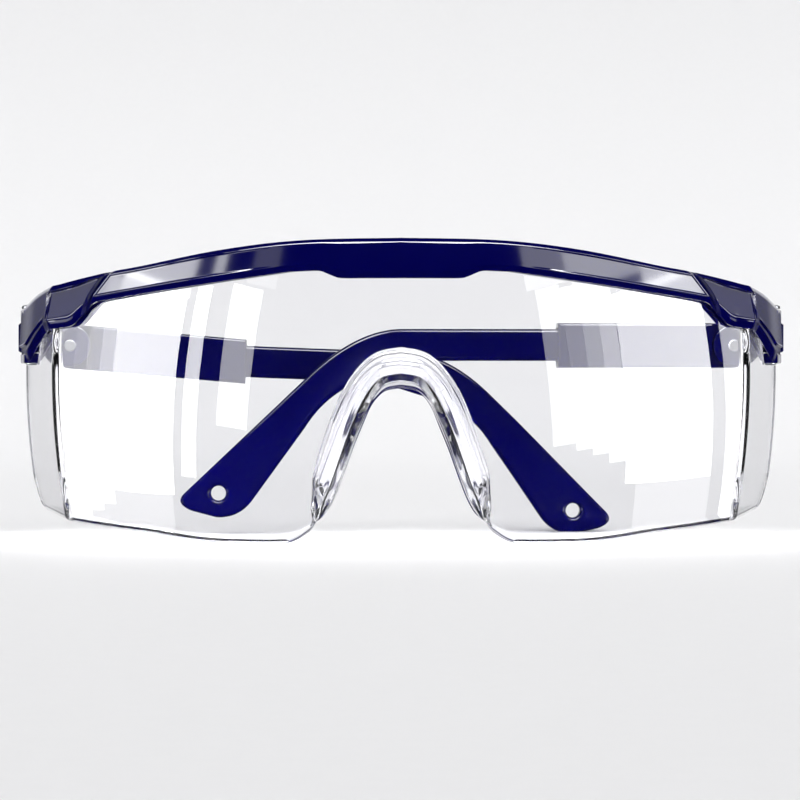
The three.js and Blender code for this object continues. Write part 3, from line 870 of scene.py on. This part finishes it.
def turned_screw(shaft_foot, head_foot, head_top, radius, head_radius):
    """A turned screw or pin with a rounded head and a cross slot in it."""
    shaft = [(0, shaft_foot), (radius - 0.2, shaft_foot), (radius, shaft_foot + 0.2), (radius, head_foot)]
    crown = [(head_radius, head_foot), (head_radius, head_top - 0.35), (head_radius - 0.15, head_top - 0.15),
             (head_radius - 0.6, head_top), (0, head_top + 0.06)]
    slots = [box_object((-across, -along, head_top - 0.45), (across, along, head_top + 1))
             for across, along in ((CROSS_HALF, 0.25), (0.25, CROSS_HALF))]
    return cut(loose_object(lathe(shaft + crown)), slots)


def build_pin(side, settings):
    """The steel pin that a temple folds on."""
    sign = 1 if side == "left" else -1
    mesh = turned_screw(shaft_foot=PIN_FOOT, head_foot=46.2, head_top=47.0, radius=1.2, head_radius=2.0)
    mesh.transform(Matrix.Translation((PIN_PLACE.x * sign, PIN_PLACE.y, ORIGIN[2])) @ Matrix.Scale(MM, 4))
    return finish_mesh(f"{side}_fold_pin", mesh, finish_of("steel", settings), 35)


def build_screw(side, settings):
    """The steel screw that a sleeve tilts on."""
    mesh = turned_screw(shaft_foot=-2.6, head_foot=2.9, head_top=3.65, radius=1.2, head_radius=2.2)
    inner = 1 if side == "left" else -1
    turn = Matrix.Rotation(inner * math.pi / 2, 4, "X")
    place = Matrix.Translation((TILT_ALONG, 0, TILT_HEIGHT))
    mesh.transform(temple_matrix(side, False) @ place @ turn)
    return finish_mesh(f"{side}_ratchet_screw", mesh, finish_of("steel", settings), 35)


# ---- Add-on ---------------------------------------------------------------------------

class GlassesSettings(bpy.types.PropertyGroup):
    """Finishes of the glasses and how finely the lens is built"""
    frame_gloss: bpy.props.FloatProperty(
        name="Frame gloss", description="Specular level of the nylon parts", default=0.5, min=0, max=1)
    temple_gloss: bpy.props.FloatProperty(
        name="Temple gloss", description="Specular level of the temples", default=0.22, min=0, max=1)
    lens_tint: bpy.props.StringProperty(
        name="Lens tint", description="sRGB hex colour of the clear lens", default="FCFCFD")
    lens_columns: bpy.props.IntProperty(
        name="Lens columns", description="Profile loops from the middle to a side's rear edge", default=300)
    lens_rows: bpy.props.IntProperty(
        name="Lens rows", description="Points down each face of the lens", default=48)


class StageSettings(bpy.types.PropertyGroup):
    """Where the camera, lights and paper stand and how bright they are"""
    camera_distance: bpy.props.FloatProperty(
        name="Camera distance", description="From the lens face to the camera", default=0.5,
        subtype="DISTANCE", unit="LENGTH")
    camera_height: bpy.props.FloatProperty(
        name="Camera height", description="Height of the camera above the table", default=0.0297,
        subtype="DISTANCE", unit="LENGTH")
    focal_length: bpy.props.FloatProperty(
        name="Focal length", description="Camera focal length in millimetres on a 36 mm sensor",
        default=118.98)
    softbox_distance: bpy.props.FloatProperty(
        name="Softbox distance", description="From the glasses to each softbox", default=0.9,
        subtype="DISTANCE", unit="LENGTH")
    sweep_start: bpy.props.FloatProperty(
        name="Sweep start", description="Where the paper begins to curve up behind", default=0.55,
        subtype="DISTANCE", unit="LENGTH")
    ceiling_strength: bpy.props.FloatProperty(
        name="Ceiling light", description="Strength of the broad light from above and in front", default=2.85)
    backdrop: bpy.props.StringProperty(
        name="Backdrop", description="sRGB hex colour of the paper behind", default="EEEEEF")


class GLASSES_OT_lens(bpy.types.Operator):
    """Builds the clear wrap lens with its side shields and nose bridge"""
    bl_idname = "glasses.lens"
    bl_label = "Lens"

    def execute(self, context):
        lens = build_lens(context.scene.glasses)
        lens.visible_shadow = False
        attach(lens, "front")
        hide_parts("lens")
        return {"FINISHED"}


class GLASSES_OT_frame(bpy.types.Operator):
    """Builds the brow frame with its end pods, side arms and hinge lugs"""
    bl_idname = "glasses.frame"
    bl_label = "Brow frame"

    def execute(self, context):
        bar = build_frame(context.scene.glasses)
        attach(bar, "front")
        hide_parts("brow_frame")
        return {"FINISHED"}


class GLASSES_OT_hinges(bpy.types.Operator):
    """Builds the fold knuckles, their pins and the tilt screws"""
    bl_idname = "glasses.hinges"
    bl_label = "Hinges"

    def execute(self, context):
        settings = context.scene.glasses
        for side in ("left", "right"):
            for maker, body, node, slot in (
                    (build_pin, "front", "hinge_pin", "steel"),
                    (build_block, f"{side}_hinge", "hinge_block", "navy_frame"),
                    (build_screw, f"{side}_hinge", "tilt_screw", "steel")):
                piece = maker(side, settings)
                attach(piece, body)
                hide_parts(f"{side}_{node}")
        return {"FINISHED"}


class GLASSES_OT_temples(bpy.types.Operator):
    """Builds the temple sleeves and the sliding ear hooks"""
    bl_idname = "glasses.temples"
    bl_label = "Temples"

    def execute(self, context):
        settings = context.scene.glasses
        for side in ("left", "right"):
            for maker, body, node in (
                    (build_sleeve, "sleeve", "temple_sleeve"),
                    (build_tip, "tip", "temple_tip")):
                piece = maker(side, settings)
                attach(piece, f"{side}_{body}")
                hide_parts(f"{side}_{node}")
        return {"FINISHED"}


# A softbox is an upright strip on a circle round the glasses. Each row holds the angles off the
# front that it spans, the elevations that it spans, and its radiance. Negative angles are on
# the wearer's right.
SOFTBOXES = [
    # Broad patches in the lens, brighter towards the middle, and the two stripes beside them.
    (-84, -77.5, -20, 15, 6.5), (-77.5, -74, -19.5, 15, 7.6), (-74, -70.5, -19, 15, 9.4),
    (-70.5, -67, -18.5, 15, 12.0), (-67, -51.3, -18, 15, 17.0), (-49.1, -45.7, -16.5, 15, 13.0),
    (-40.9, -33.7, -9, 15, 6.2), (32.9, 38.5, -12, 15, 4.4), (38.5, 42.5, -12.5, 15, 5.4),
    (42.5, 46.5, -13, 15, 7.4), (46.5, 50.5, -14, 15, 10.0), (50.5, 72.8, -16, 15, 14.0),
    (76.3, 83.5, -19, 15, 7.0),
    # The patches' fainter lower ends.
    (-84, -51, -29, -14, 2.4), (53, 72.8, -29, -14, 2.4),
    # Glints on the brow's panels.
    (-84, -50.4, 15, 25, 11.0), (-47.2, -44.8, 15, 25, 9.0), (-38, -31, 15, 25, 1.2),
    (31, 42, 15, 25, 3.0), (42, 58, 15, 25, 7.0), (58, 84, 15, 25, 10.0),
    # The end pods.
    (-100, -84.4, 14, 27, 1.5), (84.4, 100, 14, 27, 1.5),
    # Overhead, for the rolled edges.
    (-80, -15, 44, 74, 34.0), (15, 80, 44, 74, 34.0),
]
SOFTBOX_HEIGHT = 0.03
SOFTBOX_LEAN = math.radians(8.5)
PAPER_REACH = 4.0
PAPER_HALF = 5.0
SWEEP_RADIUS = 0.45
CAMERA_SHIFT = (-0.00125, -0.01375)


def add_softbox(distance, start, end, low, high, radiance):
    """One softbox, leaning a little towards the middle. It lights reflections only."""
    middle = math.radians((start + end) / 2)
    width = 2 * distance * math.sin(math.radians(abs(end - start)) / 2)
    low, high = (distance * math.tan(math.radians(a)) for a in (low, high))
    lamp = bpy.data.lights.new("softbox", "AREA")
    lamp.shape = "RECTANGLE"
    lamp.size = width
    lamp.size_y = high - low
    lamp.energy = math.pi * width * (high - low) * radiance
    made = bpy.data.objects.new("softbox", lamp)
    bpy.context.scene.collection.objects.link(made)
    across = Vector((math.cos(middle), math.sin(middle), 0))
    side = -1 if middle < 0 else 1
    place = Vector((distance * math.sin(middle), ORIGIN[1] - distance * math.cos(middle), SOFTBOX_HEIGHT))
    rise = (low + high) / 2
    place += Vector((0, 0, rise)) - across * (side * math.tan(SOFTBOX_LEAN) * rise)
    aim = Vector((0, ORIGIN[1], place.z)) - place
    made.matrix_world = Matrix.Translation(place) @ (
        aim.to_track_quat("-Z", "Y").to_matrix().to_4x4() @ Matrix.Rotation(side * SOFTBOX_LEAN, 4, "Z"))
    made.visible_camera = False
    made.visible_diffuse = False
    made.visible_transmission = False


class GLASSES_OT_stage(bpy.types.Operator):
    """Sets the table, the soft lights, the paper behind and the camera"""
    bl_idname = "glasses.stage"
    bl_label = "Studio"

    def execute(self, context):
        settings = context.scene.glasses_stage
        self.add_table(settings)
        self.add_paper(context, settings)
        for softbox in SOFTBOXES:
            add_softbox(settings.softbox_distance, *softbox)
        self.add_ceiling(context, settings)
        self.add_camera(context, settings)
        context.scene.view_settings.view_transform = "Standard"
        # Enough bounces for light to find its way out of the lens's corners and nose bridge.
        context.scene.cycles.max_bounces = 24
        context.scene.cycles.glossy_bounces = 16
        context.scene.cycles.transmission_bounces = 24
        return {"FINISHED"}

    def add_ceiling(self, context, settings):
        """A very broad light from above and in front, which lights surfaces but never shows
        as a reflection."""
        sky = bpy.data.lights.new("ceiling_light", "SUN")
        sky.energy = settings.ceiling_strength
        sky.angle = math.radians(75)
        sky.specular_factor = 0.0
        ceiling = bpy.data.objects.new("ceiling_light", sky)
        ceiling.rotation_euler = (math.radians(33), math.radians(6), 0)
        ceiling.visible_glossy = False
        context.scene.collection.objects.link(ceiling)

    def paper_white(self):
        """Matt paper with a faint grain, and a painted contact shadow where something nearly touches it. Its
        mirror image in front of the glasses is painted dark, so that the lens shows the temples' own colour."""
        material, tree, shader = new_material("matt_white_table")
        place = add_node(tree, "ShaderNodeTexCoord")
        grain = add_node(tree, "ShaderNodeTexNoise", inputs={
            "Vector": place.outputs["Object"], "Scale": 1 / (3 * MM), "Detail": 3.0})
        tone = add_node(tree, "ShaderNodeMix", {"data_type": "RGBA"}, {
            "Factor": grain.outputs["Fac"], "A": linear("EBEBEC"), "B": linear("EDEDEE")})
        # Painted contact shadow: ambient occlusion darkens the paper's colour towards A9A9B6 where something
        # is close.
        near = add_node(tree, "ShaderNodeAmbientOcclusion", {"samples": 12}, {"Distance": 14 * MM})
        shade = add_node(tree, "ShaderNodeMapRange", inputs={
            "Value": near.outputs["AO"], "From Min": 0.35, "From Max": 0.97, "To Min": 0.35})
        painted_contact_shadow = add_node(tree, "ShaderNodeMix", {"data_type": "RGBA"}, {
            "Factor": shade.outputs["Result"], "A": linear("A9A9B6"), "B": tone.outputs["Result"]})
        # Painted dark reflection: in a first mirror image, the paper in front of the glasses takes the colour
        # 1A1A3C instead of white.
        rays = add_node(tree, "ShaderNodeLightPath")
        mirrored = add_node(tree, "ShaderNodeMath", {"operation": "COMPARE"}, {
            0: rays.outputs["Glossy Depth"], 1: 1.0, 2: 0.1})
        parts = add_node(tree, "ShaderNodeSeparateXYZ", inputs={"Vector": place.outputs["Object"]})
        ahead = add_node(tree, "ShaderNodeMath", {"operation": "LESS_THAN"}, {
            0: parts.outputs["Y"], 1: 0.04})
        painted_dark_reflection = add_node(tree, "ShaderNodeMath", {"operation": "MULTIPLY"}, {
            0: mirrored.outputs["Value"], 1: ahead.outputs["Value"]})
        shown = add_node(tree, "ShaderNodeMix", {"data_type": "RGBA"}, {
            "Factor": painted_dark_reflection.outputs["Value"], "A": painted_contact_shadow.outputs["Result"], "B": linear("1A1A3C")})
        tree.links.new(shown.outputs["Result"], shader.inputs["Base Color"])
        shader.inputs["Roughness"].default_value = 0.9
        shader.inputs["Specular IOR Level"].default_value = 0.0
        return material

    def add_table(self, settings):
        """One sheet of paper: flat under the glasses, then curving up behind them."""
        start = settings.sweep_start
        section = [(-PAPER_REACH, 0.0), (-1.0, 0.0), (start, 0.0)]
        section += [(start + SWEEP_RADIUS * math.sin(a), SWEEP_RADIUS * (1 - math.cos(a)))
                    for a in np.linspace(0.05, math.pi / 2, 24)]
        section.append((start + SWEEP_RADIUS, PAPER_REACH))
        points = [(x, y, z) for x in (-PAPER_HALF, PAPER_HALF) for y, z in section]
        table = mesh_object("paper_sweep", points, loop_faces(2, len(section)), self.paper_white(), 60)
        table.visible_glossy = False

    def add_paper(self, context, settings):
        """Paper all round as seen directly and through the lens. In a first reflection only the
        paper behind is bright and the room in front is dim, and later ones see pale paper."""
        world = bpy.data.worlds.new("studio")
        world.use_nodes = True
        tree = world.node_tree
        way = add_node(tree, "ShaderNodeTexCoord")
        parts = add_node(tree, "ShaderNodeSeparateXYZ", inputs={"Vector": way.outputs["Generated"]})
        behind = add_node(tree, "ShaderNodeMapRange", {"interpolation_type": "SMOOTHSTEP"}, {
            "Value": parts.outputs["Y"], "From Min": 0.745, "From Max": 0.95})
        rays = add_node(tree, "ShaderNodeLightPath")
        in_glass = add_node(tree, "ShaderNodeMath", {"operation": "COMPARE"}, {
            0: rays.outputs["Transmission Depth"], 1: 2.0, 2: 1.1})
        dim = add_node(tree, "ShaderNodeMix", {"data_type": "RGBA"}, {
            "Factor": in_glass.outputs["Value"], "A": linear("121216"), "B": linear("24242E")})
        room = add_node(tree, "ShaderNodeMix", {"data_type": "RGBA"}, {
            "Factor": behind.outputs["Result"], "A": dim.outputs["Result"], "B": linear(settings.backdrop)})
        bounced = add_node(tree, "ShaderNodeMath", {"operation": "ADD"}, {
            0: rays.outputs["Glossy Depth"], 1: rays.outputs["Diffuse Depth"]})
        first = add_node(tree, "ShaderNodeMath", {"operation": "LESS_THAN"}, {
            0: bounced.outputs["Value"], 1: 0.5})
        later = add_node(tree, "ShaderNodeMath", {"operation": "GREATER_THAN"}, {
            0: rays.outputs["Glossy Depth"], 1: 1.5})
        glow = add_node(tree, "ShaderNodeMix", {"data_type": "RGBA"}, {
            "Factor": later.outputs["Value"], "A": room.outputs["Result"], "B": linear("D4D4DC")})
        tone = add_node(tree, "ShaderNodeMix", {"data_type": "RGBA"}, {
            "Factor": first.outputs["Value"], "A": glow.outputs["Result"], "B": linear(settings.backdrop)})
        tree.links.new(tone.outputs["Result"], tree.nodes["Background"].inputs["Color"])
        context.scene.world = world

    def add_camera(self, context, settings):
        """A long lens, level and straight in front, at the height of the nose bridge."""
        camera = bpy.data.cameras.new("camera")
        camera.sensor_width = 36
        camera.lens = settings.focal_length
        camera.shift_x, camera.shift_y = CAMERA_SHIFT
        camera.clip_end = 200
        made = bpy.data.objects.new("camera", camera)
        made.location = (0, ORIGIN[1] - settings.camera_distance, settings.camera_height)
        made.rotation_euler = (math.pi / 2, 0, 0)
        context.scene.collection.objects.link(made)
        context.scene.camera = made


class GLASSES_PT_panel(bpy.types.Panel):
    """Lists the builders of the glasses"""
    bl_idname = "GLASSES_PT_panel"
    bl_label = "Safety Glasses"
    bl_space_type = "VIEW_3D"
    bl_region_type = "UI"
    bl_category = "Safety Glasses"

    def draw(self, context):
        for settings in (context.scene.glasses, context.scene.glasses_stage):
            for name in settings.bl_rna.properties.keys():
                if name not in ("rna_type", "name"):
                    self.layout.prop(settings, name)
        for operator in BUILDERS:
            self.layout.operator(operator.bl_idname)


BUILDERS = (GLASSES_OT_frame, GLASSES_OT_lens, GLASSES_OT_hinges, GLASSES_OT_temples, GLASSES_OT_stage)
CLASSES = (GlassesSettings, StageSettings) + BUILDERS + (GLASSES_PT_panel,)


def register():
    for cls in CLASSES:
        bpy.utils.register_class(cls)
    bpy.types.Scene.glasses = bpy.props.PointerProperty(type=GlassesSettings)
    bpy.types.Scene.glasses_stage = bpy.props.PointerProperty(type=StageSettings)


def unregister():
    del bpy.types.Scene.glasses_stage
    del bpy.types.Scene.glasses
    for cls in reversed(CLASSES):
        bpy.utils.unregister_class(cls)


def main():
    register()
    for build in (bpy.ops.glasses.frame, bpy.ops.glasses.lens, bpy.ops.glasses.hinges,
                  bpy.ops.glasses.temples, bpy.ops.glasses.stage):
        build()


if __name__ == "__main__":
    main()
